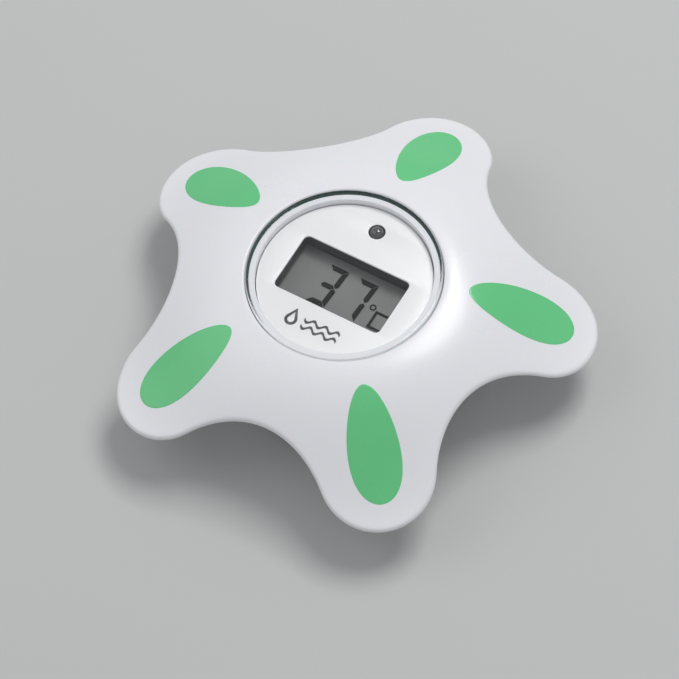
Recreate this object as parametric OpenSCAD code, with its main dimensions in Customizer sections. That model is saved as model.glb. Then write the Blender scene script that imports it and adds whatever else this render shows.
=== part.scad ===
// Floating bath thermometer: a five-armed star with a digital display under a clear round window.
// Millimetres. The origin is the centre of the foot ring's flat face, on the window's axis.
// +Z is up, and +Y points to the top of the display, along one arm.

/* [Star body] */
// Centre to the tip of an arm
reach = 57.2; // [52:0.2:70]
// Centre to the bottom of the notch between two arms
waist = 39.3; // [38:0.1:47.5]
// Radius that rounds an arm's tip
tip_r = 13.4; // [11:0.1:16]
// Height of the shell round the window, above the foot
deck_z = 30; // [30:0.5:40]
// How far an arm's tip hangs below the deck
droop = 16.5; // [12:0.5:18]
// Share of the droop in the slope next to the window
edge_fall = 0.067; // [0:0.01:0.3]
// Share of the droop in the crown's bend
crown_fall = 2.192; // [1.6:0.05:2.4]
// Wall of the top shell
shell_wall = 2.4; // [2:0.1:3]
// Thickness of the thin brim round the star
brim_t = 1.4; // [1:0.1:2]
// Overhang of the brim past the lower hull
brim_w = 3.5; // [2:0.1:5]
// Wall of the lower hull
hull_wall = 2; // [1.6:0.1:2.6]
// Depth of an arm, from the top surface to its underside
wing_t = 7; // [6.5:0.1:9]

/* [Petals] */
// Length of a petal inlay
petal_len = 23.8; // [16:0.2:26]
// Width of a petal inlay
petal_w = 11.74; // [8:0.1:14]
// How egg-shaped a petal is, wide end outwards
petal_egg = 0.238; // [0:0.02:0.3]
// Gap from a petal to the arm's tip
petal_tip_gap = 5.2; // [4:0.1:10]
// Thickness of a petal inlay
petal_t = 1.2; // [0.8:0.1:1.5]

/* [Window] */
// Radius of the opening that the lens stands in
window_r = 22.5; // [21.8:0.1:24]
// Radial gap round the lens
lens_gap = 0.2; // [0.1:0.05:0.4]
// Width of the ledge that the lens rests on
ledge_w = 2.3; // [1.8:0.1:2.5]
// Thickness of the lens
lens_t = 1.8; // [1.4:0.1:2]
// Height of the lens above the deck
lens_proud = 0.4; // [0.2:0.1:2]
// Thickness of the lens's seal
seal_t = 0.6; // [0.4:0.1:1]
// Width of the lens's seal
seal_w = 0.6; // [0.4:0.1:1]
// Depth of the face plate's top below the deck
dial_drop = 3.2; // [2.8:0.1:4]
// Thickness of the face plate
dial_t = 0.5; // [0.4:0.1:1]

/* [Display] */
// Width of the opening over the display
view_w = 27.4; // [24:0.2:28]
// Height of the opening over the display
view_h = 15; // [12:0.1:15.4]
// Distance of the display's middle from the axis, towards the reader
view_y = 1.25; // [0:0.05:1.8]
// Radius of the opening's corners
view_corner = 1.3; // [0.8:0.1:2]
// Clockwise turn of the face and its display in the window, in degrees
face_turn = 3; // [0:0.1:4]
// Width of the display glass
glass_w = 31; // [29:0.1:31.5]
// Height of the front glass
glass_h = 18.5; // [17.5:0.1:19]
// Height of the digits
digit_h = 10.8; // [8:0.1:12]
// Width of the digits
digit_w = 4.9; // [4:0.1:5.6]
// Distance from one digit to the next
digit_pitch = 7.7; // [6.5:0.1:8]
// Lean of the digits, in degrees
digit_lean = 3; // [0:1:12]
// Diameter of the light's lens
led_d = 3.5; // [3:0.1:4]
// Distance of the light from the axis
led_y = 14.4; // [14:0.1:15]

/* [Battery] */
// Diameter of the coin cell
cell_d = 20; // [16:0.5:24.5]
// Thickness of the coin cell
cell_t = 3.2; // [2:0.1:3.4]
// Lead of the cap's thread, for one turn
thread_lead = 2.5; // [2.3:0.1:3]
// Width of the slot for a coin
slot_w = 2.2; // [1.6:0.1:2.6]

/* [Sensor and fixings] */
// Diameter of the metal probe cap
probe_d = 5; // [4:0.1:6]
// Diameter of the two water contacts' heads
contact_d = 3.2; // [2.6:0.1:4]
// Thickness of the circuit board
board_t = 1.2; // [0.8:0.1:1.6]
// Diameter of the case screws
case_screw_d = 2.2; // [2:0.1:2.6]
// Diameter of the small screws that hold the board and the frame
small_screw_d = 1.8; // [1.6:0.1:2.2]

/* [Hidden] */
$fn = 96;

arms = 5;
arm_step = 360 / arms;
first_arm = 90;
steps = 12;
arc_steps = 10;

// Star outline: each tip circle meets the notch circles smoothly.
tip_at = [reach - tip_r, 0];
half_cos = cos(arm_step / 2);
notch_r = (tip_r ^ 2 - waist ^ 2 - tip_at.x ^ 2 + 2 * tip_at.x * waist * half_cos)
    / (2 * waist - 2 * tip_at.x * half_cos - 2 * tip_r);
notch_at = (waist + notch_r) * [cos(arm_step / 2), sin(arm_step / 2)];
joint_dir = (notch_at - tip_at) / norm(notch_at - tip_at);

// Small clearances
slip = 0.2;
hair = 0.1;

// Window and display levels
collar_r = window_r + shell_wall;
lens_r = window_r - lens_gap;
lens_top = deck_z + lens_proud;
lens_z = lens_top - lens_t;
ledge_t = 1.2;
ledge_top = lens_z - seal_t;
ledge_in_r = window_r - ledge_w;
rib_r = lens_r - seal_w - hair;
bore_or = ledge_in_r + shell_wall;
dial_top = deck_z - dial_drop;
dial_z = dial_top - dial_t;
dial_r = ledge_in_r - slip;
ear_top = dial_top - 4;
frame_r = dial_r - 0.4;
frame_top_t = 2.9;
film_t = 0.2;
pane_t = 0.9;
ink_t = 0.1;
film_z = dial_z - frame_top_t - film_t;
front_pane_z = film_z - pane_t;
segment_z = front_pane_z - ink_t;
rear_pane_z = segment_z - pane_t;
reflector_z = rear_pane_z - film_t;
board_gap = 3.5;
board_top = reflector_z - board_gap;
board_z = board_top - board_t;
pad_row = 1.6;
strip_w = 1.2;

// Screws
ear_r = 2.6;
ear_at = collar_r + 1.1;
ear_t = 1.6;
boss_r = case_screw_d / 2 + 1.4;
case_at = collar_r + 1.3 + boss_r;
head_r = case_screw_d + 0.2;
head_t = 1.6;
plug_r = head_r + 0.3;
web_t = 2;
posts = [[10.5, 12.5], [-10.5, 12.5], [7, -14.6], [-7, -14.6]];
post_r = 1.9;

// Battery well
foot_rise = 1.6;
floor_z = foot_rise + hull_wall;
cap_gap = 0.4;
cap_flange_t = 1.1;
neck_r = cell_d / 2 + 3;
neck_wall = 2;
neck_or = neck_r + neck_wall;
cap_r = neck_or - 0.4;
plug_root_r = neck_r - 0.7;
plug_top = 6.2;
cell_z = plug_top + hair;
neck_top = plug_top + 0.3;
well_r = cell_d / 2 + 0.4;
well_wall = 1.6;
spring_room = 1.1;
roof_z = cell_z + cell_t + spring_room;
roof_t = 1.4;
roof_top = roof_z + roof_t;
thread_from = 4.1;
ridge_w = 0.9;
ring_sec = 0.65;
ring_z = 2.6;

// Sensor ring between the neck and the foot
probe_flange_r = probe_d / 2 + 0.7;
sensor_at = neck_or + 0.4 + probe_flange_r;
foot_in = sensor_at + probe_flange_r + 0.4;
foot_w = 2.2;
foot_r = foot_in + foot_w;
probe_wall = 0.3;
probe_z = 0.6;
gasket_t = 0.6;
probe_angle = 90;
leaf_angle = 45;
contact_angles = [210, 330];
shank_r = contact_d / 4;
pad_at = min(sensor_at, frame_r - 1.2);
wire_r = 0.4;
bead_r = 1.2;
lead_x = 0.9;

// Bowl of the lower hull
bowl_r = case_at + boss_r + slip + hull_wall;
bowl_top = surface_z(bowl_r) - wing_t - 2;
screw_seat = bowl_top - 0.5;

function surface_z(r) = let (t = max(0, (r - window_r) / (reach - window_r)))
    deck_z - droop * (edge_fall * t + crown_fall * t ^ 2 + (1 - edge_fall - crown_fall) * t ^ 3);
function turn(p, a) = [p.x * cos(a) - p.y * sin(a), p.x * sin(a) + p.y * cos(a)];
function radii(from, to, n = steps) = [for (i = [0:n]) from + (to - from) * i / n];
function arc(c, r, from, to, n) = [for (i = [0:n]) let (a = from + (to - from) * i / n)
    c + r * [cos(a), sin(a)]];

// Star outline, moved inwards by inset: tip arcs and notch arcs in turn
module star(inset) {
    meet = atan2(joint_dir.y, joint_dir.x);
    tip = arc(tip_at, tip_r - inset, -meet, meet, arc_steps);
    notch = arc(notch_at, notch_r + inset, 180 + meet, 180 + arm_step - meet, arc_steps);
    arm = concat([for (i = [0:arc_steps - 1]) tip[i]], [for (i = [0:arc_steps - 1]) notch[i]]);
    polygon([for (k = [1:arms], p = arm) turn(p, first_arm + k * arm_step)]);
}

module star_prism(inset) {
    linear_extrude(height = lens_top + 5) star(inset);
}

// Solid of revolution between two depths under the star's top surface
module skin(depth_top, depth_bottom, from = 0) {
    rs = radii(max(from, window_r), reach + 3);
    top = [for (r = rs) [r, surface_z(r) - depth_top]];
    low = [for (i = [steps:-1:0]) [rs[i], surface_z(rs[i]) - depth_bottom]];
    inner = from < window_r ? [[from, deck_z - depth_bottom], [from, deck_z - depth_top]] : [];
    rotate_extrude() polygon(concat(inner, top, low));
}

module ring(r_out, r_in, z, h) {
    translate([0, 0, z]) difference() {
        cylinder(r = r_out, h = h);
        translate([0, 0, -1]) cylinder(r = r_in, h = h + 2);
    }
}

module at_notches(r) {
    for (k = [1:arms]) rotate(first_arm + (k + 0.5) * arm_step) translate([r, 0, 0]) children();
}

module at_ears(r) {
    for (a = [90, 234, 306]) rotate(a) translate([r, 0, 0]) children();
}

module rounded_box(w, h, r, z, t) {
    translate([0, -view_y, z]) linear_extrude(height = t) {
        difference() {
            square([w, h], center = true);
            for (sx = [-1, 1], sy = [-1, 1])
                translate([sx * w / 2, sy * h / 2]) difference() {
                    square(2 * r, center = true);
                    translate([-sx * r, -sy * r]) circle(r = r, $fn = 32);
                }
        }
    }
}

// Turns the face, the display and what carries them to sit straight for the reader
module facing() {
    rotate(-face_turn) children();
}

module slab(w, h, z, t) {
    translate([-w / 2, -view_y - h / 2, z]) cube([w, h, t]);
}

// Straight round wire from one point to another
module strand(from, to, r = wire_r) {
    d = to - from;
    length = norm(d);
    translate(from) rotate([0, acos(d.z / length), atan2(d.y, d.x)]) cylinder(r = r, h = length, $fn = 24);
}

// One screw, head at the bottom, seated at z = 0
module screw(d, head, head_h, length) {
    translate([0, 0, -head_h]) difference() {
        cylinder(r = head, h = head_h, $fn = 32);
        for (a = [0, 90]) rotate(a) translate([-head * 0.6, -0.3, -0.1])
            cube([head * 1.2, 0.6, head_h * 0.5]);
    }
    translate([0, 0, -hair]) cylinder(d = d, h = length + hair, $fn = 32);
}

module egg(extra = 0) {
    mid = reach - petal_tip_gap - petal_len / 2;
    n = 48;
    polygon([for (i = [0:n - 1]) let (a = i * 360 / n)
        [mid + (petal_len / 2 + extra) * cos(a),
         (petal_w / 2 + extra) * sin(a) * (1 + petal_egg * cos(a))]]);
}

module petal_prism(k) {
    rotate(first_arm + k * arm_step) linear_extrude(height = lens_top + 5) egg();
}

module petal(k) {
    color([0.38, 0.8, 0.56]) intersection() {
        petal_prism(k);
        skin(0, petal_t);
    }
}

module top_shell() {
    color([0.95, 0.95, 0.97]) difference() {
        union() {
            intersection() {
                star_prism(0);
                skin(0, brim_t, window_r);
            }
            intersection() {
                star_prism(brim_w + hull_wall);
                skin(0, shell_wall, window_r);
            }
            ring(collar_r, window_r, ledge_top - ledge_t, deck_z - ledge_top + ledge_t - brim_t / 2);
            ring(window_r + brim_t / 2, ledge_in_r, ledge_top - ledge_t, ledge_t);
            ring(rib_r, ledge_in_r, ledge_top - hair, seal_t + hair);
            ring(bore_or, ledge_in_r, ear_top, ledge_top - ledge_t / 2 - ear_top);
            intersection() {
                union() {
                    at_ears(ear_at) translate([0, 0, ear_top]) cylinder(r = ear_r, h = deck_z, $fn = 32);
                    at_notches(case_at) translate([0, 0, screw_seat + web_t])
                        cylinder(r = boss_r, h = deck_z, $fn = 32);
                }
                skin(brim_t / 2, deck_z, window_r + brim_t / 4);
            }
        }
        for (k = [1:arms]) difference() {
            petal_prism(k);
            skin(petal_t, deck_z * 2);
        }
        at_ears(ear_at) translate([0, 0, -1]) cylinder(d = small_screw_d + hair, h = ear_top + 5.2, $fn = 32);
        at_notches(case_at) translate([0, 0, -1])
            cylinder(d = case_screw_d + hair, h = screw_seat + web_t + 7, $fn = 32);
    }
}

// Outside of the lower hull, as a solid of revolution
module hull_solid() {
    bowl = [for (a = [0:9:90]) [foot_r + (bowl_r - foot_r) * sin(a), bowl_top * (1 - cos(a))]];
    under = [for (r = radii(bowl_r + 1, reach + 3)) [r, surface_z(r) - wing_t]];
    rs = radii(window_r, reach + 3);
    over = [for (i = [steps:-1:0]) [rs[i], surface_z(rs[i]) - brim_t]];
    rotate_extrude() polygon(concat([[0, 0]], bowl, under, over, [[0, deck_z - brim_t]]));
}

// Room inside the lower hull
module hull_room() {
    inner_r = bowl_r - hull_wall;
    bowl = [for (a = [0:9:90])
        [foot_in + (inner_r - foot_in) * sin(a), bowl_top - (bowl_top - floor_z) * cos(a)]];
    rs = radii(bowl_r, reach + 3);
    under = [for (r = rs) [r, surface_z(r) - wing_t + hull_wall]];
    rotate_extrude() polygon(concat([[0, floor_z]], bowl, [[inner_r, under[0].y]], under,
        [[reach + 3, deck_z + 5], [0, deck_z + 5]]));
}

// One thread ridge on a helix; a positive tooth points outwards
module ridge(root, crest, z, from, to) {
    n = ceil((to - from) / 10);
    rows = [for (i = [0:n]) let (a = from + (to - from) * i / n, h = z + thread_lead * a / 360)
        [for (p = [[root, -ridge_w / 2], [crest, -ridge_w / 4], [crest, ridge_w / 4], [root, ridge_w / 2]])
            [p.x * cos(a), p.x * sin(a), h + p.y]]];
    flip = crest < root;
    sides = [for (i = [0:n - 1], j = [0:3]) let (k = (j + 1) % 4)
        flip ? [4 * i + k, 4 * i + j, 4 * i + 4 + j, 4 * i + 4 + k]
             : [4 * i + j, 4 * i + k, 4 * i + 4 + k, 4 * i + 4 + j]];
    ends = flip ? [[0, 1, 2, 3], [4 * n + 3, 4 * n + 2, 4 * n + 1, 4 * n]]
                : [[3, 2, 1, 0], [4 * n, 4 * n + 1, 4 * n + 2, 4 * n + 3]];
    polyhedron(points = [for (row = rows, p = row) p], faces = concat(sides, ends), convexity = 6);
}

module bottom_shell() {
    color([0.93, 0.93, 0.95]) {
        difference() {
            union() {
                difference() {
                    intersection() {
                        star_prism(brim_w);
                        hull_solid();
                    }
                    intersection() {
                        star_prism(brim_w + hull_wall);
                        hull_room();
                    }
                    intersection() {
                        star_prism(brim_w + hull_wall / 2);
                        skin(-deck_z, brim_t + gasket_t);
                    }
                }
                intersection() {
                    at_notches(case_at) cylinder(r = plug_r + 1.1, h = screw_seat + web_t, $fn = 48);
                    hull_solid();
                }
                cylinder(r = neck_or, h = neck_top + roof_t);
                cylinder(r = well_r + well_wall, h = roof_top);
            }
            translate([0, 0, -1]) cylinder(r = foot_in, h = foot_rise + 1);
            translate([0, 0, -1]) cylinder(r = neck_r, h = neck_top + 1);
            cylinder(r = well_r, h = roof_z);
            rotate(leaf_angle) translate([cell_d / 2 - 1, -2.6, neck_top - 1])
                cube([2.2, 5.2, roof_z - neck_top + 1]);
            translate([0, 0, roof_z - 1]) cylinder(r = wire_r + hair, h = roof_t + 2, $fn = 24);
            rotate(leaf_angle) translate([well_r, 0, roof_z - 1])
                cylinder(r = wire_r + hair, h = roof_t + 2, $fn = 24);
            rotate(probe_angle) translate([sensor_at, 0, 0])
                cylinder(d = probe_d + slip, h = floor_z + 1, $fn = 48);
            for (a = contact_angles) rotate(a) translate([sensor_at, 0, 0])
                cylinder(r = shank_r + hair, h = floor_z + 1, $fn = 32);
            at_notches(case_at) {
                translate([0, 0, -1]) cylinder(r = plug_r, h = screw_seat + 1, $fn = 48);
                cylinder(r = case_screw_d / 2 + 0.3, h = deck_z, $fn = 32);
            }
        }
        ridge(neck_r + 0.3, plug_root_r + 0.25, thread_from + thread_lead / 2, -200, 20);
    }
}

module lens() {
    edge = 0.5;
    color([0.85, 0.92, 0.92, 0.35]) rotate_extrude() polygon(concat(
        [[0, lens_z], [lens_r, lens_z]],
        arc([lens_r - edge, lens_top - edge], edge, 0, 90, 6),
        [[0, lens_top]]));
}

module lens_seal() {
    color([0.05, 0.16, 0.13]) ring(lens_r, rib_r + hair, ledge_top, seal_t);
}

module hull_gasket() {
    color([0.82, 0.83, 0.83]) intersection() {
        difference() {
            star_prism(brim_w + hull_wall / 2);
            star_prism(brim_w + hull_wall);
        }
        skin(brim_t, brim_t + gasket_t);
    }
}

module face_plate() {
    color([0.96, 0.96, 0.95]) facing() difference() {
        translate([0, 0, dial_z]) cylinder(r = dial_r, h = dial_t);
        rounded_box(view_w, view_h, view_corner, dial_z - 1, dial_t + 2);
        translate([0, led_y, dial_z - 1]) cylinder(d = led_d + 2 * slip, h = dial_t + 2, $fn = 48);
    }
}

// Generic mark under the display: a water drop and two waves
module dial_print() {
    mark_y = -14.1;
    drop_r = 1.5;
    wave_w = 0.7;
    color([0.42, 0.44, 0.44]) facing() translate([0, mark_y, dial_top]) linear_extrude(height = ink_t / 2) {
        translate([-5.4, -0.5]) difference() {
            polygon(concat(arc([0, 0], drop_r, -210, 30, 20), [[0, drop_r * 2.1]]));
            polygon(concat(arc([0, 0], drop_r - wave_w, -210, 30, 20), [[0, drop_r * 2.1 - 1.1]]));
        }
        for (y = [0.9, -0.9]) translate([1.9, y])
            polygon(concat([for (x = [-4.6:0.4:4.6]) [x, 0.55 * sin(x * 120) + wave_w / 2]],
                [for (x = [4.6:-0.4:-4.6]) [x, 0.55 * sin(x * 120) - wave_w / 2]]));
    }
}

module lcd_frame() {
    color([0.13, 0.14, 0.14]) difference() {
        union() {
            translate([0, 0, dial_z - frame_top_t]) cylinder(r = frame_r, h = frame_top_t);
            ring(frame_r, frame_r - 1.6, board_top, dial_z - board_top - frame_top_t / 2);
            intersection() {
                at_ears(ear_at) translate([-ear_at + frame_r - 1.6, 0, ear_top - ear_t]) {
                    translate([ear_at - frame_r + 1.6, 0, 0]) cylinder(r = ear_r, h = ear_t, $fn = 32);
                    translate([0.4, -ear_r, 0]) cube([ear_at - frame_r + 1.2, 2 * ear_r, ear_t]);
                }
                translate([0, 0, ear_top - ear_t - 1]) cylinder(r = ear_at + ear_r + 1, h = ear_t + 1);
            }
            facing() for (p = posts) translate([p.x, p.y, board_top])
                cylinder(r = post_r, h = dial_z - board_top - frame_top_t / 2, $fn = 32);
        }
        facing() {
            slab(glass_w + slip, glass_h + slip, board_top - 1, film_z + film_t - board_top + 1);
            rounded_box(view_w, view_h, view_corner, dial_z - frame_top_t - 1, frame_top_t + 2);
            translate([0, led_y, board_top])
                cylinder(d = led_d + 1.2, h = dial_top - board_top, $fn = 48);
            for (p = posts) translate([p.x, p.y, board_top - 1])
                cylinder(d = small_screw_d + hair, h = 6.2, $fn = 32);
        }
        at_ears(ear_at) translate([0, 0, ear_top - ear_t - 1])
            cylinder(d = small_screw_d + 0.4, h = ear_t + 2, $fn = 32);
    }
}

module lcd_front_polariser() {
    color([0.6, 0.62, 0.6, 0.4]) facing() slab(view_w + 2, view_h + 2, film_z, film_t);
}

module lcd_front_glass() {
    color([0.7, 0.75, 0.72, 0.4]) facing() slab(glass_w, glass_h, front_pane_z, pane_t);
}

module lcd_rear_glass() {
    color([0.7, 0.75, 0.72, 0.4]) facing() slab(glass_w, glass_h - 2 * pad_row, rear_pane_z, pane_t);
}

module lcd_reflector() {
    color([0.62, 0.64, 0.62]) facing() slab(glass_w - 1, glass_h - 2 * pad_row - 0.3, reflector_z, film_t);
}

// Bars of a digit of width w and height h, each tapered where it meets the next: top, two upper sides,
// middle, two lower sides, bottom
function bars(w, h, bar_w, gap) = let (
    x = w / 2, y = h / 2,
    top = [[-x + gap, y], [x - gap, y], [x - bar_w, y - bar_w], [-x + bar_w, y - bar_w]],
    side = [[x, y - gap], [x, bar_w / 2], [x - bar_w / 2, gap], [x - bar_w, bar_w / 2 + gap],
        [x - bar_w, y - bar_w - gap]],
    tip = x - bar_w / 2 - gap,
    middle = [[-tip, 0], [-tip + bar_w / 2, bar_w / 2], [tip - bar_w / 2, bar_w / 2], [tip, 0],
        [tip - bar_w / 2, -bar_w / 2], [-tip + bar_w / 2, -bar_w / 2]]
) [top, flip(side, -1, 1), side, middle, flip(side, -1, -1), flip(side, 1, -1), flip(top, 1, -1)];
function flip(points, sx, sy) = [for (p = points) [sx * p.x, sy * p.y]];

// Seven-bar digit that shows the bars listed in lit
module digit(lit) {
    drawn = bars(digit_w, digit_h, 1.25, 0.13);
    for (i = lit) lean() polygon(drawn[i]);
}

module lean() {
    multmatrix([[1, tan(digit_lean), 0, 0], [0, 1, 0, 0], [0, 0, 1, 0]]) children();
}

// Degree sign and the letter C
module unit() {
    letter_w = 3.3;
    letter_h = 4.7;
    stroke = 0.65;
    translate([8.1, 0]) difference() {
        circle(r = 0.8, $fn = 32);
        circle(r = 0.45, $fn = 32);
    }
    translate([10.8, -2.75]) difference() {
        square([letter_w, letter_h], center = true);
        translate([stroke, 0]) square([letter_w, letter_h - 2 * stroke], center = true);
    }
}

module lcd_segments() {
    digit_x = -0.4;
    digit_y = 0.25 - view_y;
    color([0.08, 0.08, 0.08])
    facing() translate([digit_x, digit_y, segment_z]) linear_extrude(height = ink_t) {
        translate([-digit_pitch / 2, 0]) digit([0, 2, 3, 5, 6]);
        translate([digit_pitch / 2, 0]) digit([0, 2, 5]);
        unit();
    }
}

module zebra_strips() {
    edge = 0.2;
    color([0.75, 0.55, 0.6]) facing() for (side = [-1, 1])
        translate([0, side * ((glass_h - strip_w) / 2 - edge), 0])
            slab(glass_w - 3, strip_w, board_top, front_pane_z - board_top);
}

module circuit_board() {
    color([0.1, 0.42, 0.25]) difference() {
        translate([0, 0, board_z]) cylinder(r = frame_r, h = board_t);
        facing() {
            for (p = posts) translate([p.x, p.y, board_z - 1])
                cylinder(d = small_screw_d + 0.3, h = board_t + 2, $fn = 32);
            for (x = [-lead_x, lead_x]) translate([x, led_y, board_z - 1])
                cylinder(r = 0.45, h = board_t + 2, $fn = 24);
        }
        for (a = contact_angles) rotate(a) translate([pad_at, 0, board_z - 1])
            cylinder(r = wire_r + hair, h = board_t + 2, $fn = 24);
        rotate(probe_angle) for (y = [-0.8, 0.8]) translate([pad_at - 1, y, board_z - 1])
            cylinder(r = wire_r * 0.6 + hair, h = board_t + 2, $fn = 24);
        translate([0, 0, board_z - 1]) cylinder(r = wire_r + hair, h = board_t + 2, $fn = 24);
        rotate(leaf_angle) translate([well_r, 0, board_z - 1])
            cylinder(r = wire_r + hair, h = board_t + 2, $fn = 24);
    }
}

module chip_blob() {
    blob_r = 4.5;
    blob_t = 1.6;
    ball = (blob_r ^ 2 + blob_t ^ 2) / (2 * blob_t);
    color([0.06, 0.06, 0.07]) translate([-7, -6, board_z]) rotate_extrude()
        polygon(concat([for (i = [0:8]) let (a = asin(blob_r / ball) * (1 - i / 8))
            [ball * sin(a), ball - blob_t - ball * cos(a)]], [[0, 0]]));
}

module smd_parts() {
    color([0.55, 0.42, 0.3]) for (i = [0:4], j = [0:1])
        translate([3 + i * 2.6, -9 + j * 2.4, board_z - 0.6]) cube([1.6, 0.8, 0.6]);
}

module crystal() {
    color([0.75, 0.76, 0.78]) translate([-9, 5, board_z - 1.05]) rotate([0, 90, 0])
        cylinder(r = 1, h = 6, $fn = 32);
}

module led() {
    lamp_top = dial_top + 0.8;
    lamp_z = board_top + 3;
    r = led_d / 2;
    color([0.6, 0.61, 0.62, 0.8]) facing() translate([0, led_y, 0]) {
        rotate_extrude() polygon(concat(
            [[0, lamp_z], [r + 0.3, lamp_z], [r + 0.3, lamp_z + 1], [r, lamp_z + 1]],
            arc([0, lamp_top - r], r, 0, 90, 8)));
        for (x = [-lead_x, lead_x]) translate([x - 0.25, -0.25, board_z - 0.6])
            cube([0.5, 0.5, lamp_z - board_z + 0.6]);
    }
}

module board_screws() {
    color([0.7, 0.71, 0.73]) facing() for (p = posts) translate([p.x, p.y, board_z])
        screw(small_screw_d, small_screw_d, 1.2, 5);
}

module frame_screws() {
    color([0.7, 0.71, 0.73]) at_ears(ear_at) translate([0, 0, ear_top - ear_t])
        screw(small_screw_d, small_screw_d, 1.2, 5.4);
}

module case_screws() {
    color([0.7, 0.71, 0.73]) at_notches(case_at) translate([0, 0, screw_seat])
        screw(case_screw_d, head_r, head_t, web_t + 5.5);
}

module screw_plugs() {
    color([0.9, 0.9, 0.92]) intersection() {
        at_notches(case_at) cylinder(r = plug_r - hair / 2, h = screw_seat - head_t - hair, $fn = 48);
        hull_solid();
    }
}

module cell_contact_negative() {
    color([0.85, 0.72, 0.4]) {
        translate([0, 0, roof_z - 0.3]) cylinder(r = 4, h = 0.3, $fn = 48);
        translate([0, 0, cell_z + cell_t + 0.05])
            cylinder(r1 = 1.2, r2 = 2.4, h = spring_room - 0.2, $fn = 48);
    }
}

module cell_contact_positive() {
    leaf = 0.3;
    color([0.85, 0.72, 0.4]) rotate(leaf_angle) {
        translate([cell_d / 2 + hair, -2, cell_z - hair]) cube([leaf, 4, roof_z - cell_z + hair]);
        translate([cell_d / 2 + hair, -2, roof_z - leaf]) cube([1.1 - hair, 4, leaf]);
    }
}

module coin_cell() {
    step = 0.3;
    color([0.78, 0.79, 0.8]) translate([0, 0, cell_z]) rotate_extrude() polygon([
        [0, 0], [cell_d / 2 - 0.4, 0], [cell_d / 2, 0.4], [cell_d / 2, cell_t - step - 0.2],
        [cell_d / 2 - 0.2, cell_t - step],
        [cell_d / 2 - 1.2, cell_t - step], [cell_d / 2 - 1.2, cell_t], [0, cell_t]]);
}

module battery_cap() {
    groove_r = neck_r - 1.45;
    slot_l = cap_r + 1.4;
    color([0.9, 0.9, 0.92]) {
        difference() {
            union() {
                translate([0, 0, cap_gap]) cylinder(r = cap_r, h = cap_flange_t);
                translate([0, 0, cap_gap]) cylinder(r = plug_root_r, h = plug_top - cap_gap);
            }
            translate([0, 0, 3]) cylinder(r = cell_d / 2 - 1.2, h = plug_top);
            translate([-slot_l / 2, -slot_w / 2, 0]) cube([slot_l, slot_w, 1.7]);
            ring(neck_r + 1, groove_r, ring_z - 0.7, 1.4);
        }
        ridge(plug_root_r - 0.3, neck_r - 0.2, thread_from, 0, 210);
    }
}

module cap_o_ring() {
    color([0.15, 0.15, 0.16]) translate([0, 0, ring_z]) rotate_extrude()
        translate([neck_r - 0.1 - ring_sec, 0]) circle(r = ring_sec, $fn = 32);
}

module probe_cap() {
    r = probe_d / 2;
    flange_z = floor_z + gasket_t;
    color([0.8, 0.81, 0.82]) rotate(probe_angle) translate([sensor_at, 0, 0]) rotate_extrude()
        polygon(concat([[0, probe_z]], arc([r - 0.8, probe_z + 0.8], 0.8, -90, 0, 5),
            [[r, flange_z], [probe_flange_r, flange_z], [probe_flange_r, flange_z + probe_wall],
             [r - probe_wall, flange_z + probe_wall], [r - probe_wall, probe_z + 1],
             [r - 1, probe_z + probe_wall], [0, probe_z + probe_wall]]));
}

module probe_seal() {
    color([0.15, 0.15, 0.16]) rotate(probe_angle) translate([sensor_at, 0, 0])
        ring(probe_flange_r, probe_d / 2 + hair, floor_z, gasket_t);
}

module thermistor() {
    color([0.1, 0.1, 0.12]) rotate(probe_angle) translate([sensor_at, 0, bead_top() - bead_r])
        sphere(r = bead_r, $fn = 32);
}

function bead_top() = probe_z + probe_wall + 0.1 + 2 * bead_r;

module thermistor_wires() {
    color([0.85, 0.85, 0.3]) rotate(probe_angle) for (y = [-0.8, 0.8])
        strand([sensor_at, y * 0.6, bead_top()], [pad_at - 1, y, board_z + board_t / 2], wire_r * 0.6);
}

module water_contacts() {
    color([0.82, 0.78, 0.62]) for (a = contact_angles) rotate(a) translate([sensor_at, 0, 0]) {
        translate([0, 0, foot_rise - 0.7]) cylinder(d = contact_d, h = 0.7, $fn = 48);
        translate([0, 0, foot_rise - 0.1]) cylinder(r = shank_r, h = hull_wall + 2, $fn = 32);
    }
}

module contact_seals() {
    color([0.15, 0.15, 0.16]) for (a = contact_angles) rotate(a) translate([sensor_at, 0, 0])
        ring(shank_r + 0.9, shank_r + hair, floor_z, gasket_t);
}

module contact_wires() {
    color([0.2, 0.35, 0.75]) for (a = contact_angles) rotate(a)
        strand([sensor_at, 0, foot_rise + hull_wall + 1.9], [pad_at, 0, board_z + board_t / 2]);
}

module battery_wire_red() {
    color([0.75, 0.08, 0.08]) rotate(leaf_angle)
        strand([well_r, 0, roof_z], [well_r, 0, board_z + board_t / 2]);
}

module battery_wire_black() {
    color([0.08, 0.08, 0.08]) strand([0, 0, roof_z], [0, 0, board_z + board_t / 2]);
}

top_shell();
bottom_shell();
petal(0);  // petal_1
petal(1);  // petal_2
petal(2);  // petal_3
petal(3);  // petal_4
petal(4);  // petal_5
lens();
lens_seal();
hull_gasket();
face_plate();
dial_print();
lcd_frame();
lcd_front_polariser();
lcd_front_glass();
lcd_segments();
lcd_rear_glass();
lcd_reflector();
zebra_strips();
circuit_board();
chip_blob();
smd_parts();
crystal();
led();
board_screws();
frame_screws();
case_screws();
screw_plugs();
cell_contact_negative();
cell_contact_positive();
coin_cell();
battery_cap();
cap_o_ring();
probe_cap();
probe_seal();
thermistor();
thermistor_wires();
water_contacts();
contact_seals();
contact_wires();
battery_wire_red();
battery_wire_black();
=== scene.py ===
"""Star-shaped floating bath thermometer: smooth shells, petals, window, dial and display, in metres.

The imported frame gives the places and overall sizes. The star's outline and its crown are formulas.
"""
import math

import bmesh
import bpy
import numpy as np
from mathutils import Matrix, Vector


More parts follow.
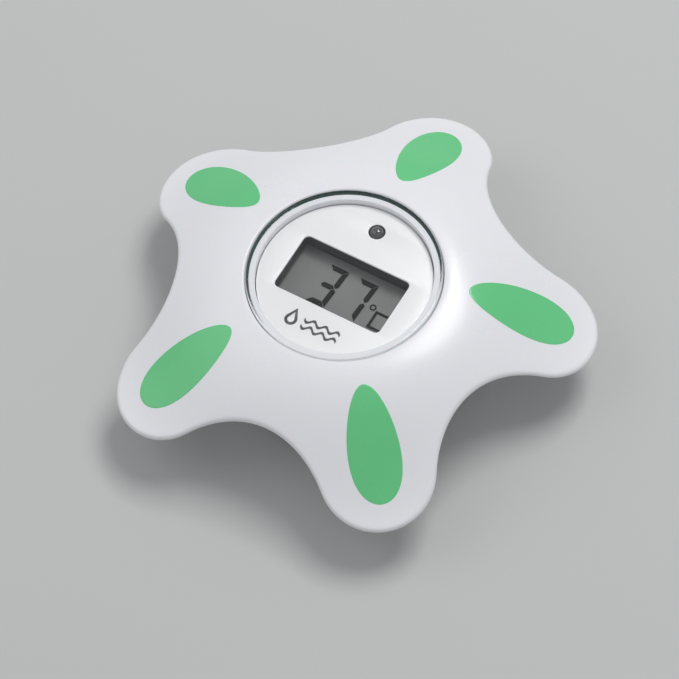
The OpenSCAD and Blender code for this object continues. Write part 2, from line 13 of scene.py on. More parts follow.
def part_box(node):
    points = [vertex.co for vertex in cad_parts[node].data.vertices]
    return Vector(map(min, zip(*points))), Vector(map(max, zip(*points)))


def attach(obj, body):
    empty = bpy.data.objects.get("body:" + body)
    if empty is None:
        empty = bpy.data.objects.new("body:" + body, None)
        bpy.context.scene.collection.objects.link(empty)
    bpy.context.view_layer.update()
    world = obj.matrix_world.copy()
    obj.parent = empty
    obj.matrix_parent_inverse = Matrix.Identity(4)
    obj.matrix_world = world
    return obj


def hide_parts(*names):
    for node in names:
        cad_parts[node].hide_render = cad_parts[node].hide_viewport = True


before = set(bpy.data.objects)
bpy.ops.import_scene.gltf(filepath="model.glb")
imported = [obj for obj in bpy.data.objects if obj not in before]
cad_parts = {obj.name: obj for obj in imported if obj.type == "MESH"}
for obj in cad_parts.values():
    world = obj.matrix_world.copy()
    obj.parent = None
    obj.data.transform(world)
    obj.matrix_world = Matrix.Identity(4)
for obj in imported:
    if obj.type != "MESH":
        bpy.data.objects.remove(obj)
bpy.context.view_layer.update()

MM = 0.001
TAU = 2 * math.pi
AXIS = 1e-6


def corner(node, top=True):
    """Highest (or lowest) corner of a frame node."""
    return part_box(node)[1 if top else 0]


def middle(node):
    """Middle of a frame node, seen from above."""
    low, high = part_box(node)
    return (low.x + high.x) / 2, (low.y + high.y) / 2


# The star's arms: tip radius, distance of the notches from the middle, and the arcs that join them
ARMS = 5
FIRST_ARM = math.pi / 2
STEP = TAU / ARMS
HALF = math.cos(STEP / 2)
REACH = corner("top_shell").y
TIP_R = 13.4 * MM
TIP_AT = REACH - TIP_R
WAIST = 39.3 * MM
NOTCH_R = ((TIP_R**2 - WAIST**2 - TIP_AT**2 + 2 * TIP_AT * WAIST * HALF)
           / (2 * WAIST - 2 * TIP_AT * HALF - 2 * TIP_R))
NOTCH_AT = (WAIST + NOTCH_R) * np.array([HALF, math.sin(STEP / 2)])
MEET = math.atan2(NOTCH_AT[1], NOTCH_AT[0] - TIP_AT)

# Crown, walls and brim of the shells
DECK = corner("top_shell").z
DROOP = 16.5 * MM
EDGE_FALL, CROWN_FALL = 0.067, 2.192
SHELL_WALL, BRIM, BRIM_OVER = 2.4 * MM, 1.4 * MM, 3.5 * MM
HULL_WALL, WING = 2.0 * MM, 7.0 * MM
SKIN_IN = 0.06 * MM

# Window, dial and battery well
WINDOW_R = corner("lens").x + 0.2 * MM
FACE_TURN = math.radians(-3)
VIEW_W, VIEW_H, VIEW_Y, VIEW_CORNER = 27.4 * MM, 15 * MM, 1.25 * MM, 1.3 * MM
CELL_R = corner("coin_cell").x
NECK_R = CELL_R + 3 * MM


def crown(r):
    """Height of the star's top: flat to the window, then a cubic fall of DROOP in all at the tips."""
    t = np.maximum(0, (r - WINDOW_R) / (REACH - WINDOW_R))
    return DECK - DROOP * (EDGE_FALL * t + CROWN_FALL * t**2 + (1 - EDGE_FALL - CROWN_FALL) * t**3)


def star(inset, per_arc=36):
    """Points of the star's outline moved inwards: for each arm a tip arc, then a notch arc tangent to it."""
    s = np.arange(per_arc) / per_arc
    a = MEET * (2 * s - 1)
    tip = np.stack([TIP_AT + (TIP_R - inset) * np.cos(a), (TIP_R - inset) * np.sin(a)], 1)
    b = math.pi + MEET + (STEP - 2 * MEET) * s
    notch = NOTCH_AT + (NOTCH_R + inset) * np.stack([np.cos(b), np.sin(b)], 1)
    arm = np.concatenate([tip, notch])
    turns = FIRST_ARM + STEP * np.arange(ARMS)
    c, n = np.cos(turns)[:, None], np.sin(turns)[:, None]
    return np.stack([arm[:, 0] * c - arm[:, 1] * n, arm[:, 0] * n + arm[:, 1] * c], 2).reshape(-1, 2)


STAR_IN = star(8 * MM)
STAR_DIR = STAR_IN / np.linalg.norm(STAR_IN, axis=1)[:, None]


def star_row(where, depth=None, level=None):
    """One closed row of points. where: a radius in metres as ("r", r), an inset as ("in", d), or ("mix", s)
    from the 8 mm inset star (0) to the window's circle (1). Height is depth under the crown, or a level."""
    kind, value = where
    if kind == "r":
        xy = STAR_DIR * value
    elif kind == "in":
        xy = star(value)
    else:
        xy = STAR_IN * (1 - value) + STAR_DIR * WINDOW_R * value
    z = crown(np.linalg.norm(xy, axis=1)) - depth if level is None else np.full(len(xy), level)
    return np.column_stack([xy, z])


def weave(rows, closed):
    """Quads between neighbouring rows, each a closed ring. closed also joins the last row to the first."""
    rows = np.asarray(rows)
    n_rows, n = rows.shape[:2]
    i = np.arange(n_rows if closed else n_rows - 1)[:, None]
    j = np.arange(n)[None, :]
    a, b = i * n + j, i * n + (j + 1) % n
    c, d = ((i + 1) % n_rows) * n + (j + 1) % n, ((i + 1) % n_rows) * n + j
    return rows.reshape(-1, 3), np.stack([a, b, c, d], 2).reshape(-1, 4)


def closed_rows(mesh, n):
    """Adds the two end faces to woven rows of n points each."""
    v, f = mesh
    return v, f.tolist() + [list(range(n)), list(range(len(v) - n, len(v)))]


def at(mesh, x=0.0, y=0.0, z=0.0, turn=0.0):
    """Mesh turned about Z, then moved."""
    v, f = mesh
    c, s = math.cos(turn), math.sin(turn)
    return np.column_stack([v[:, 0] * c - v[:, 1] * s + x, v[:, 0] * s + v[:, 1] * c + y, v[:, 2] + z]), f


def join(meshes):
    """Several meshes as one list of points and one of faces."""
    points, faces, base = [], [], 0
    for v, f in meshes:
        points.append(v)
        faces += [[int(i) + base for i in q] for q in f]
        base += len(v)
    return np.concatenate(points), faces


def arc(cx, cy, r, start, end, n=6):
    """Points on a circle's arc, angles in degrees."""
    a = np.radians(np.linspace(start, end, n + 1))
    return np.column_stack([cx + r * np.cos(a), cy + r * np.sin(a)])


def rounded(points, r, n=4):
    """Open outline whose inner corners are quadratic curves that start r before the corner."""
    p = np.asarray(points, float)
    out = [p[:1]]
    t = np.linspace(0, 1, n + 1)[:, None]
    for before, at_, after in zip(p[:-2], p[1:-1], p[2:]):
        u, w = before - at_, after - at_
        a = at_ + u * min(r / np.linalg.norm(u), 0.45)
        b = at_ + w * min(r / np.linalg.norm(w), 0.45)
        out.append((1 - t) ** 2 * a + 2 * t * (1 - t) * at_ + t**2 * b)
    return np.concatenate(out + [p[-1:]])


def piece(name, mesh, material, body, replaces=(), sharp=38):
    """New object from points and faces: doubles merged, faces outwards, smooth up to the sharp angle."""
    v, f = mesh
    data = bpy.data.meshes.new(name)
    data.from_pydata(np.asarray(v).tolist(), [], [list(map(int, q)) for q in f])
    bm = bmesh.new()
    bm.from_mesh(data)
    bmesh.ops.remove_doubles(bm, verts=bm.verts, dist=1e-7)
    bmesh.ops.recalc_face_normals(bm, faces=bm.faces)
    bm.to_mesh(data)
    bm.free()
    data.shade_smooth()
    data.set_sharp_from_angle(angle=math.radians(sharp))
    o = bpy.data.objects.new(name, data)
    bpy.context.scene.collection.objects.link(o)
    data.materials.append(material)
    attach(o, body)
    if replaces:
        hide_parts(*replaces)
    return o


# ---------------------------------------------------------------- materials

def socket(group, name, kind, way, value=None):
    """New socket of a node group, with its value if it has one."""
    s = group.interface.new_socket(name=name, in_out=way, socket_type=kind)
    if value is not None:
        s.default_value = value
    return s


def moulded_group():
    """Shared finish: soft cloudy colour, roughness that drifts, and a fine grain as height."""
    g = bpy.data.node_groups.new("moulded finish", "ShaderNodeTree")
    socket(g, "Light", "NodeSocketColor", "INPUT", (0.8, 0.8, 0.8, 1))
    socket(g, "Dark", "NodeSocketColor", "INPUT", (0.7, 0.7, 0.7, 1))
    socket(g, "Cloud scale", "NodeSocketFloat", "INPUT", 40)
    socket(g, "Grain scale", "NodeSocketFloat", "INPUT", 2500)
    socket(g, "Smooth", "NodeSocketFloat", "INPUT", 0.15)
    socket(g, "Rough", "NodeSocketFloat", "INPUT", 0.25)
    socket(g, "Color", "NodeSocketColor", "OUTPUT")
    socket(g, "Roughness", "NodeSocketFloat", "OUTPUT")
    socket(g, "Height", "NodeSocketFloat", "OUTPUT")
    n, link = g.nodes, g.links.new
    ins, outs = n.new("NodeGroupInput"), n.new("NodeGroupOutput")
    place = n.new("ShaderNodeTexCoord")
    cloud, grain = n.new("ShaderNodeTexNoise"), n.new("ShaderNodeTexNoise")
    cloud.inputs["Detail"].default_value = 3
    grain.inputs["Detail"].default_value = 2
    tint = n.new("ShaderNodeMix")
    tint.data_type = "RGBA"
    gloss = n.new("ShaderNodeMapRange")
    for noise, scale in ((cloud, "Cloud scale"), (grain, "Grain scale")):
        link(place.outputs["Object"], noise.inputs["Vector"])
        link(ins.outputs[scale], noise.inputs["Scale"])
    link(cloud.outputs["Fac"], tint.inputs["Factor"])
    link(ins.outputs["Dark"], tint.inputs["A"])
    link(ins.outputs["Light"], tint.inputs["B"])
    link(cloud.outputs["Fac"], gloss.inputs["Value"])
    gloss.inputs["From Min"].default_value = 0.3
    gloss.inputs["From Max"].default_value = 0.7
    link(ins.outputs["Smooth"], gloss.inputs["To Min"])
    link(ins.outputs["Rough"], gloss.inputs["To Max"])
    link(tint.outputs["Result"], outs.inputs["Color"])
    link(gloss.outputs["Result"], outs.inputs["Roughness"])
    link(grain.outputs["Fac"], outs.inputs["Height"])
    return g


MOULDED = moulded_group()


def finish(name, light, dark, smooth, rough, grain=0.02, cloud=40.0, fine=2500.0, **shader):
    """Material with the shared finish; shader holds plain values for the shader's own sockets."""
    m = bpy.data.materials.new(name)
    m.use_nodes = True
    n, link = m.node_tree.nodes, m.node_tree.links.new
    bsdf = n["Principled BSDF"]
    look = n.new("ShaderNodeGroup")
    look.node_tree = MOULDED
    look.inputs["Light"].default_value = (*light, 1)
    look.inputs["Dark"].default_value = (*dark, 1)
    look.inputs["Cloud scale"].default_value = cloud
    look.inputs["Grain scale"].default_value = fine
    look.inputs["Smooth"].default_value = smooth
    look.inputs["Rough"].default_value = rough
    bump = n.new("ShaderNodeBump")
    bump.inputs["Strength"].default_value = grain
    bump.inputs["Distance"].default_value = 0.0002
    link(look.outputs["Color"], bsdf.inputs["Base Color"])
    link(look.outputs["Roughness"], bsdf.inputs["Roughness"])
    link(look.outputs["Height"], bump.inputs["Height"])
    link(bump.outputs["Normal"], bsdf.inputs["Normal"])
    for key, value in shader.items():
        bsdf.inputs[key.replace("_", " ")].default_value = value
    return m


def see_through(material, colour, amount):
    """Lets light and views pass straight through by amount, tinted, under the material's own gloss."""
    n, link = material.node_tree.nodes, material.node_tree.links.new
    clear, mix = n.new("ShaderNodeBsdfTransparent"), n.new("ShaderNodeMixShader")
    clear.inputs["Color"].default_value = (*colour, 1)
    mix.inputs["Fac"].default_value = amount
    link(n["Principled BSDF"].outputs["BSDF"], mix.inputs[1])
    link(clear.outputs["BSDF"], mix.inputs[2])
    link(mix.outputs["Shader"], n["Material Output"].inputs["Surface"])
    return material


def clear_plastic():
    """Clear acrylic: it bends light for the eye and lets lamp light straight in."""
    m = finish("clear acrylic", (1.0, 1.0, 1.0), (0.99, 0.995, 0.995), 0.0, 0.02, 0.0, 60,
               Transmission_Weight=1.0, IOR=1.49)
    n, link = m.node_tree.nodes, m.node_tree.links.new
    clear, mix = n.new("ShaderNodeBsdfTransparent"), n.new("ShaderNodeMixShader")
    path = n.new("ShaderNodeLightPath")
    clear.inputs["Color"].default_value = (0.985, 0.99, 0.99, 1)
    either = n.new("ShaderNodeMath")
    either.operation = "MAXIMUM"
    link(path.outputs["Is Shadow Ray"], either.inputs[0])
    link(path.outputs["Is Diffuse Ray"], either.inputs[1])
    link(either.outputs["Value"], mix.inputs["Fac"])
    link(n["Principled BSDF"].outputs["BSDF"], mix.inputs[1])
    link(clear.outputs["BSDF"], mix.inputs[2])
    link(mix.outputs["Shader"], n["Material Output"].inputs["Surface"])
    return m


def grey(v):
    """Neutral colour."""
    return (v, v, v)


WHITE = finish("gloss white shell", (0.86, 0.86, 0.885), (0.84, 0.84, 0.865), 0.26, 0.34, 0.015,
               Coat_Weight=0.1, Coat_Roughness=0.12, Subsurface_Weight=0.08, Subsurface_Scale=0.002)
PETAL = finish("mint petal", (0.15, 0.63, 0.26), (0.13, 0.59, 0.235), 0.22, 0.3, 0.03,
               Coat_Weight=0.15, Coat_Roughness=0.12, Subsurface_Weight=0.05, Subsurface_Scale=0.002)
LENS = clear_plastic()
DIAL = finish("satin dial", (0.92, 0.915, 0.92), (0.9, 0.895, 0.9), 0.3, 0.4, 0.02)
PRINT = finish("grey ink", grey(0.035), grey(0.025), 0.4, 0.55, 0.03, 300)
FRAME = finish("dark frame", grey(0.02), grey(0.012), 0.4, 0.55, 0.05)
FILM = see_through(
    finish("display film", grey(0.03), grey(0.025), 0.1, 0.16, 0.01, Specular_IOR_Level=0.2),
    (0.95, 0.95, 0.945), 0.96)
GLASS = see_through(
    finish("display glass", grey(0.03), grey(0.025), 0.02, 0.05, 0.0, Specular_IOR_Level=0.0),
    grey(1.0), 0.98)
REAR_GLASS = finish("display ground", grey(0.27), grey(0.25), 0.4, 0.5, 0.08, 200, 6000)
REFLECTOR = finish("display reflector", (0.5, 0.5, 0.49), (0.46, 0.46, 0.45), 0.45, 0.55, 0.08, 200, 6000)
SEGMENT = finish("lit segments", grey(0.006), grey(0.004), 0.6, 0.7, 0.01, Specular_IOR_Level=0.1)
# The zebra strips are real parts, but their near-black colour is painted shade: it stands in for the shadow
# band along the display's top edge, where the strips show.
SHADE_DARKENED_STRIP = finish("striped elastomer darkened as painted shade", (0.06, 0.055, 0.055), (0.02, 0.018, 0.018), 0.6, 0.7, 0.05, 900)
BOARD = finish("solder mask", (0.02, 0.14, 0.06), (0.015, 0.1, 0.045), 0.25, 0.35, 0.05, 150)
RESIN = finish("black resin", grey(0.012), grey(0.006), 0.12, 0.25, 0.03)
CERAMIC = finish("ceramic parts", (0.3, 0.22, 0.14), (0.2, 0.15, 0.1), 0.5, 0.6, 0.05, 800)
STEEL = finish("plated steel", grey(0.62), grey(0.5), 0.2, 0.34, 0.05, 300, Metallic=1.0)
BRASS = finish("gilt contacts", (0.75, 0.58, 0.28), (0.62, 0.46, 0.2), 0.2, 0.3, 0.03, 300, Metallic=1.0)
LAMP = finish("smoky lamp", (0.055, 0.055, 0.057), (0.045, 0.045, 0.048), 0.08, 0.12, 0.0, 300,
              Coat_Weight=1.0, Coat_Roughness=0.1)
BLACK_RUBBER = finish("black rubber", grey(0.025), grey(0.015), 0.5, 0.65, 0.1)
GREEN_SEAL = finish("dark green silicone", (0.012, 0.05, 0.042), (0.008, 0.035, 0.03), 0.3, 0.45, 0.05)
SILICONE = finish("silicone", grey(0.6), grey(0.5), 0.35, 0.5, 0.05,
                  Subsurface_Weight=0.1, Subsurface_Scale=0.001)
PLUG = finish("white plug", (0.78, 0.78, 0.82), (0.74, 0.74, 0.78), 0.4, 0.5, 0.05)
FLOOR = finish("pale floor", (0.56, 0.57, 0.56), (0.54, 0.55, 0.54), 0.7, 0.8, 0.02, 3, 200)


def wire_finish(name, colour):
    """Soft plastic insulation in one colour."""
    return finish(name, colour, tuple(0.8 * c for c in colour), 0.35, 0.45, 0.03, 400)


YELLOW = wire_finish("yellow wire", (0.6, 0.5, 0.04))
BLUE = wire_finish("blue wire", (0.02, 0.06, 0.4))
RED = wire_finish("red wire", (0.45, 0.01, 0.01))
BLACK = wire_finish("black wire", (0.01, 0.01, 0.01))

KEPT = {
    "lens_seal": GREEN_SEAL, "hull_gasket": SILICONE, "dial_print": PRINT, "lcd_frame": FRAME,
    "lcd_front_polariser": FILM, "lcd_front_glass": GLASS, "lcd_segments": SEGMENT,
    "lcd_rear_glass": REAR_GLASS, "lcd_reflector": REFLECTOR, "zebra_strips": SHADE_DARKENED_STRIP,
    "circuit_board": BOARD, "chip_blob": RESIN, "smd_parts": CERAMIC, "crystal": STEEL,
    "board_screws": STEEL, "frame_screws": STEEL, "case_screws": STEEL, "screw_plugs": PLUG,
    "cell_contact_negative": BRASS, "cell_contact_positive": BRASS, "coin_cell": STEEL,
    "cap_o_ring": BLACK_RUBBER, "probe_cap": STEEL, "probe_seal": BLACK_RUBBER, "thermistor": RESIN,
    "thermistor_wires": YELLOW, "water_contacts": BRASS, "contact_seals": BLACK_RUBBER,
    "contact_wires": BLUE, "battery_wire_red": RED, "battery_wire_black": BLACK,
}
for node, material in KEPT.items():
    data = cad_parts[node].data
    data.materials.clear()
    data.materials.append(material)


# ---------------------------------------------------------------- shells

def top_shell():
    """Crown from the window's edge to the rounded brim, back underneath, down the collar and up the bore."""
    e, lip, soft = BRIM / 2, 0.5 * MM, 0.12 * MM
    collar, inner = WINDOW_R + SHELL_WALL, BRIM_OVER + HULL_WALL
    ledge, seat = corner("lens_seal", False).z, corner("lens", False).z
    ledge_low, bore_foot = ledge - 1.2 * MM, corner("face_plate").z - 4 * MM
    bore = corner("face_plate").x + 0.2 * MM
    rib, bore_out = corner("lens").x - 0.7 * MM, bore + SHELL_WALL
    rows = [star_row(("r", WINDOW_R), level=DECK - lip)]
    rows += [star_row(("r", WINDOW_R + lip * (1 - math.cos(a))), depth=lip * (1 - math.sin(a)))
             for a in np.radians([22, 45, 67, 90])]
    rows += [star_row(("mix", s), depth=0) for s in np.linspace(0.94, 0, 26)]
    rows += [star_row(("in", d), depth=0) for d in np.linspace(7 * MM, e + SKIN_IN, 12)[:-1]]
    rows += [star_row(("in", SKIN_IN + e * (1 - math.sin(a))), depth=e * (1 - math.cos(a)))
             for a in np.radians(np.linspace(0, 180, 13))]
    rows += [star_row(("in", inner), depth=BRIM), star_row(("in", inner), depth=SHELL_WALL)]
    rows += [star_row(("mix", s), depth=SHELL_WALL) for s in (0, 0.25, 0.5, 0.7)]
    rows += [star_row(("r", collar), depth=SHELL_WALL)]
    rows += [star_row(("r", r), level=z) for r, z in (
        (collar, ledge_low), (bore_out, ledge_low), (bore_out, bore_foot), (bore, bore_foot),
        (bore, seat - soft), (bore + soft, seat), (rib - soft, seat), (rib, seat - soft), (rib, ledge),
        (WINDOW_R, ledge))]
    return weave(rows, closed=True)


def hull():
    """Outside from the battery well's roof, down the neck, over the foot and up the bowl to the wing, then
    back inside along the same walls to the top of the roof."""
    roof, neck_top = corner("cell_contact_negative").z, corner("coin_cell", False).z + 0.2 * MM
    well_r, e, hair = CELL_R + 0.4 * MM, 0.45 * MM, 0.1 * MM
    low, inner_floor = 1.6 * MM, 3.6 * MM
    foot_in, foot_r, bowl_r = 22.2 * MM, 24.4 * MM, 33.4 * MM
    wing_r, inside = bowl_r + 1.2 * MM, bowl_r - HULL_WALL
    well_out, neck_out, roof_t = well_r + 1.6 * MM, NECK_R + 2 * MM, 1.4 * MM
    under_wing = float(crown(bowl_r)) - WING
    bowl_top, meet = under_wing - 2 * MM, float(crown(wing_r)) - WING
    rim, groove = BRIM + 0.02 * MM, BRIM + 0.6 * MM
    rows = [star_row(("r", r), level=z) for r, z in (
        (AXIS, roof), (well_r, roof), (well_r, neck_top), (NECK_R, neck_top), (NECK_R, low + 5 * hair),
        (NECK_R + 2 * hair, low + hair), (NECK_R + 6 * hair, low),
        (foot_in - 5 * hair, low), (foot_in - hair, low - hair), (foot_in, low - 5 * hair),
        (foot_in, 3 * hair), (foot_in + hair, 0.8 * hair), (foot_in + 3.5 * hair, 0), (foot_r, 0))]
    rows += [star_row(("r", foot_r + (bowl_r - foot_r) * math.sin(a)), level=bowl_top * (1 - math.cos(a)))
             for a in np.radians(np.linspace(6, 90, 15))]
    rows += [star_row(("r", bowl_r + 0.5 * hair), level=bowl_top + 0.6 * (meet - bowl_top)),
             star_row(("r", bowl_r + 3.5 * hair), level=bowl_top + 0.88 * (meet - bowl_top)),
             star_row(("r", wing_r), depth=WING)]
    wall = star(BRIM_OVER + e)
    start = wall / np.linalg.norm(wall, axis=1)[:, None] * wing_r
    for s in np.linspace(0.12, 1, 10):
        xy = start * (1 - s) + wall * s
        rows.append(np.column_stack([xy, crown(np.linalg.norm(xy, axis=1)) - WING]))
    rows += [star_row(("in", BRIM_OVER + e * (1 - math.sin(a))), depth=WING - e * (1 - math.cos(a)))
             for a in np.radians([30, 60, 90])]
    rows += [star_row(("in", BRIM_OVER + d), depth=deep) for d, deep in (
        (0, rim), (HULL_WALL / 2, rim), (HULL_WALL / 2, groove), (HULL_WALL, groove),
        (HULL_WALL, WING - HULL_WALL))]
    rows += [star_row(("r", inside), level=under_wing + HULL_WALL)]
    rows += [star_row(("r", foot_in + (inside - foot_in) * math.sin(a)),
                      level=bowl_top - (bowl_top - inner_floor) * math.cos(a))
             for a in np.radians([90, 60, 40, 20, 0])]
    rows += [star_row(("r", r), level=z) for r, z in (
        (neck_out, inner_floor), (neck_out, neck_top + roof_t), (well_out, neck_top + roof_t),
        (well_out, roof + roof_t), (AXIS, roof + roof_t))]
    return closed_rows(weave(rows, closed=False), len(STAR_IN))


def thread(root, crest, height, start, end, lead=2.5 * MM, width=0.9 * MM, n=72):
    """Tooth of a screw thread: a four-sided section carried along a helix, closed at both ends."""
    a = np.radians(np.linspace(start, end, n))[:, None]
    r = np.array([root, crest, crest, root])
    z = height + lead * a / TAU + np.array([-width / 2, -width / 4, width / 4, width / 2])
    return closed_rows(weave(np.stack([np.cos(a) * r, np.sin(a) * r, z], 2), closed=False), len(r))


piece("top_shell_skin", top_shell(), WHITE, "hull", ["top_shell"])
hull_skin = piece("hull_skin", hull(), WHITE, "hull", ["bottom_shell"])
well_thread = thread(NECK_R + 0.3 * MM, NECK_R - 0.45 * MM, 5.35 * MM, -200, 20)
piece("hull_thread", well_thread, WHITE, "hull", ["bottom_shell"])


def petal(k):
    """Egg laid on the crown: rings that shrink to its middle, and an edge that turns down into the shell."""
    low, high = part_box("petal_1")
    length, width, egg = high.y - low.y, 11.74 * MM, 0.238
    mid, core, n = (high.y + low.y) / 2, 0.02, 96
    proud, edge, sunk = 0.04 * MM, 0.18 * MM, -1.1 * MM
    t = np.arange(n) * TAU / n
    rim = np.column_stack([np.cos(t) * length / 2, np.sin(t) * (1 + egg * np.cos(t)) * width / 2])
    rings = [(s, proud) for s in np.linspace(core, 1, 14)[:-1]]
    rings += [(1 - 2 * edge / width * (1 - math.sin(a)), proud - edge * (1 - math.cos(a)))
              for a in np.radians([0, 30, 60, 90])]
    rows = []
    for s, d in rings + [(1, sunk), (core, sunk)]:
        x, y = mid + rim[:, 0] * s, rim[:, 1] * s
        rows.append(np.column_stack([x, y, crown(np.hypot(x, y)) + d]))
    return at(closed_rows(weave(rows, closed=False), n), turn=FIRST_ARM + k * STEP)


for k in range(ARMS):
    piece(f"petal_inlay_{k + 1}", petal(k), PETAL, "hull", [f"petal_{k + 1}"])


# ---------------------------------------------------------------- window and dial

def lathe(profile, n):
    """Closed solid from a profile turned about Z; the profile starts and ends at the axis."""
    p = np.asarray(profile, float)
    a = np.arange(n) * TAU / n
    x, y = p[:, 0, None] * np.cos(a), p[:, 0, None] * np.sin(a)
    rows = np.stack([x, y, np.repeat(p[:, 1, None], n, 1)], 2)
    return closed_rows(weave(rows, closed=False), n)


def lens():
    """Thick clear disc: rounded upper edge, broken lower edge, faintly domed top."""
    low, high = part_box("lens")
    r, top, foot = high.x - 0.01 * MM, high.z, low.z
    edge, dome, turn = 0.5 * MM, 0.12 * MM, 1 * MM
    flat = np.linspace(r - edge, 0, 24)[1:-1]
    return lathe(np.concatenate([
        [(AXIS, foot)], rounded([(r - turn, foot), (r, foot), (r, foot + turn)], 0.1 * MM),
        arc(r - edge, top - dome - edge, edge, 0, 90, 10),
        np.column_stack([flat, top - dome * (flat / (r - edge)) ** 2]), [(AXIS, top)]]), 256)


def plate_outline(r, w, h, cy, corner_r, hole_y, hole_r):
    """Flat curve: a disc with a rounded rectangle and a round hole cut out of it."""
    curve = bpy.data.curves.new("outline", "CURVE")
    curve.dimensions = "2D"
    curve.fill_mode = "BOTH"

    def loop(points):
        s = curve.splines.new("POLY")
        s.points.add(len(points) - 1)
        flat = np.column_stack([points, np.zeros(len(points)), np.ones(len(points))])
        s.points.foreach_set("co", flat.ravel())
        s.use_cyclic_u = True

    loop(arc(0, 0, r, 0, 360, 256)[:-1])
    x, y = w / 2 - corner_r, h / 2 - corner_r
    loop(np.concatenate([arc(sx * x, cy + sy * y, corner_r, a, a + 90, 8)
                         for sx, sy, a in ((1, 1, 0), (-1, 1, 90), (-1, -1, 180), (1, -1, 270))]))
    loop(arc(0, hole_y, hole_r, 0, 360, 64)[:-1])
    return curve


def dial():
    """White face plate with softened edges round the display's opening."""
    low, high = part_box("face_plate")
    bevel, lamp_hole = 0.1 * MM, 1.95 * MM
    x, y = middle("led")
    curve = plate_outline(high.x - bevel, VIEW_W + 2 * bevel, VIEW_H + 2 * bevel, -VIEW_Y,
                          VIEW_CORNER + bevel, math.hypot(x, y), lamp_hole + bevel)
    curve.extrude = (high.z - low.z) / 2 - bevel
    curve.bevel_depth = bevel
    curve.bevel_resolution = 3
    holder = bpy.data.objects.new("outline", curve)
    bpy.context.scene.collection.objects.link(holder)
    bpy.context.view_layer.update()
    made = bpy.data.meshes.new_from_object(holder)
    bpy.data.objects.remove(holder)
    points = np.array([v.co for v in made.vertices])
    faces = [list(p.vertices) for p in made.polygons]
    return at((points, faces), z=(low.z + high.z) / 2, turn=FACE_TURN)


def lamp():
    """Lamp with a domed top, a straight body and a collar at its foot."""
    top, r, collar = corner("led").z, 1.75 * MM, 2.05 * MM
    foot, shoulder = top - 7 * MM, top - 6 * MM
    outline = np.concatenate([[(AXIS, foot), (collar, foot), (collar, shoulder), (r, shoulder)],
                              arc(0, top - r, r, 0, 89.9, 14)])
    return at(lathe(outline, 64), *middle("led"))


piece("window_lens", lens(), LENS, "hull", ["lens"], sharp=50)
piece("dial_plate", dial(), DIAL, "hull", ["face_plate"])
piece("lamp_dome", lamp(), LAMP, "hull", ["led"])


# ---------------------------------------------------------------- underside

def cap():
    """Cap with a rounded flange, a plug with its ring groove, and a hollow that faces the cell."""
    low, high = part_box("battery_cap")
    ring_low, ring_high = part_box("cap_o_ring")
    flange, plug, top, foot = high.x, CELL_R + 2.3 * MM, high.z, low.z
    seat, hollow, floor_top = foot + 1.1 * MM, CELL_R - 1.2 * MM, 3 * MM
    mid, half, groove = (ring_low.z + ring_high.z) / 2, 0.7 * MM, NECK_R - 1.45 * MM
    return lathe(rounded([
        (AXIS, foot), (flange, foot), (flange, seat), (plug, seat), (plug, mid - half), (groove, mid - half),
        (groove, mid + half), (plug, mid + half), (plug, top), (hollow, top), (hollow, floor_top),
        (AXIS, floor_top)], 0.3 * MM, 4), 192)


def prism(points, low, high):
    """Closed solid between two levels over a flat outline."""
    rows = [np.column_stack([points, np.full(len(points), z)]) for z in (low, high)]
    return closed_rows(weave(rows, closed=False), len(points))


def cut(target, solids):
    """Takes closed solids, none of which touches another, out of a piece."""
    v, f = join(solids)
    tool = bpy.data.meshes.new("tool")
    tool.from_pydata(v.tolist(), [], f)
    bm = bmesh.new()
    bm.from_mesh(tool)
    bmesh.ops.recalc_face_normals(bm, faces=bm.faces)
    bm.to_mesh(tool)
    bm.free()
    cutter = bpy.data.objects.new("tool", tool)
    bpy.context.scene.collection.objects.link(cutter)
    step = target.modifiers.new("cut", "BOOLEAN")
    step.operation, step.object, step.solver = "DIFFERENCE", cutter, "EXACT"
    bpy.context.view_layer.update()
    done = bpy.data.meshes.new_from_object(target.evaluated_get(bpy.context.evaluated_depsgraph_get()))
    target.modifiers.clear()
    target.data = done
    done.shade_smooth()
    done.set_sharp_from_angle(angle=math.radians(38))
    bpy.data.objects.remove(cutter)


def coin_slot():
    """Round-ended slot for a coin, across the cap."""
    half, r, deep = (NECK_R + 3 * MM) / 2, 1.1 * MM, 1.7 * MM
    ends = np.concatenate([arc(half, 0, r, -90, 90, 12), arc(-half, 0, r, 90, 270, 12)])
    return prism(ends, -1 * MM, deep)


def underside_holes():
    """Wells of the five screw plugs and the hole of the sensor's cap."""
    below, seat = -1 * MM, corner("screw_plugs").z + 1.6 * MM
    well_r, probe_r = 2.8 * MM, 2.6 * MM
    away = WINDOW_R + SHELL_WALL + 3.8 * MM
    turns = FIRST_ARM + STEP * (0.5 + np.arange(ARMS))
    wells = [prism(arc(away * math.cos(a), away * math.sin(a), well_r, 0, 360, 64)[:-1], below, seat)
             for a in turns]
    probe = arc(*middle("probe_cap"), probe_r, 0, 360, 64)[:-1]
    return wells + [prism(probe, 0.9 * MM, 3.8 * MM)]


cut(hull_skin, underside_holes())
battery_cap = piece("battery_cap_skin", cap(), WHITE, "cap", ["battery_cap"])
cut(battery_cap, [coin_slot()])
cap_thread = thread(NECK_R - 1 * MM, NECK_R - 0.2 * MM, 4.1 * MM, 0, 210)
piece("battery_cap_thread", cap_thread, WHITE, "cap", ["battery_cap"])


# ---------------------------------------------------------------- camera, floor and light

def area(name, place, size, power):
    """Round white light that points at the part's middle."""
    light = bpy.data.lights.new(name, "AREA")
    light.shape, light.size, light.energy = "DISK", size, power
    o = bpy.data.objects.new(name, light)
    o.location = place
    o.rotation_mode = "QUATERNION"
    o.rotation_quaternion = (Vector(place) - Vector((0, 0, 0.02))).to_track_quat("Z", "Y")
    bpy.context.scene.collection.objects.link(o)


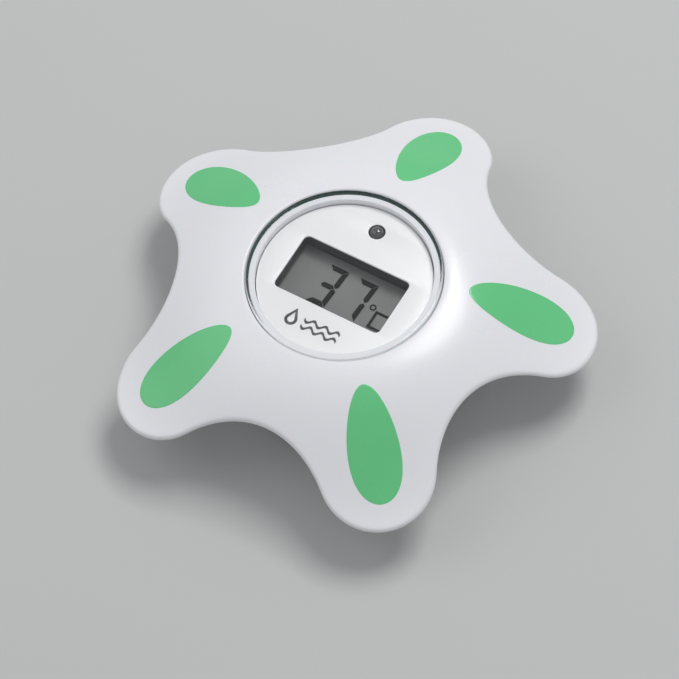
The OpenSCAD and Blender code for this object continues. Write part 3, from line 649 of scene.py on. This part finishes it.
def camera():
    """Long lens from the near right, rolled a little and aimed just below the window."""
    azimuth, elevation, roll = math.radians(33.175), math.radians(58.342), math.radians(-6.596)
    pan, tilt = math.radians(0.0647), math.radians(0.9396)
    distance = 39.89 * WINDOW_R
    aim = Vector((math.tan(pan), math.tan(tilt), -1)).normalized()
    level = Vector((math.sin(azimuth), -math.cos(azimuth), 0))
    right = Vector((math.cos(azimuth), math.sin(azimuth), 0))
    back = level * math.cos(elevation) + Vector((0, 0, math.sin(elevation)))
    up = back.cross(right)
    x = right * math.cos(roll) + up * math.sin(roll)
    y = -right * math.sin(roll) + up * math.cos(roll)
    turn = Matrix((x, y, back)).transposed().to_quaternion()
    nod = Vector((0, 0, -1)).rotation_difference(aim)
    data = bpy.data.cameras.new("camera")
    data.lens, data.sensor_width = 212.08, 36
    data.clip_start, data.clip_end = 0.05, 20
    o = bpy.data.objects.new("camera", data)
    o.rotation_mode = "QUATERNION"
    o.rotation_quaternion = turn @ nod.inverted()
    o.location = Vector((0, 0, DECK)) + back * distance
    bpy.context.scene.collection.objects.link(o)
    bpy.context.scene.camera = o


def floor():
    """Plain square floor at height zero."""
    data = bpy.data.meshes.new("floor")
    s = 3.0
    data.from_pydata([(-s, -s, 0), (s, -s, 0), (s, s, 0), (-s, s, 0)], [], [(0, 1, 2, 3)])
    data.materials.append(FLOOR)
    o = bpy.data.objects.new("floor", data)
    bpy.context.scene.collection.objects.link(o)


def studio():
    """Pale surroundings and three lights. The display's clear layers need many transparent bounces."""
    scene = bpy.context.scene
    world = bpy.data.worlds.new("studio")
    world.use_nodes = True
    sky = world.node_tree.nodes["Background"].inputs
    sky["Color"].default_value = (0.95, 0.97, 1.0, 1)
    sky["Strength"].default_value = 0.42
    scene.world = world
    scene.view_settings.view_transform = "Standard"
    scene.cycles.transparent_max_bounces = 32
    scene.cycles.blur_glossy = 0
    area("key", (0.15, 0.4, 0.9), 0.45, 4.2)
    area("spark", (0.0, 0.56, 0.83), 0.14, 0.6)
    area("fill", (-0.6, -0.2, 0.7), 0.7, 1)


camera()
floor()
studio()
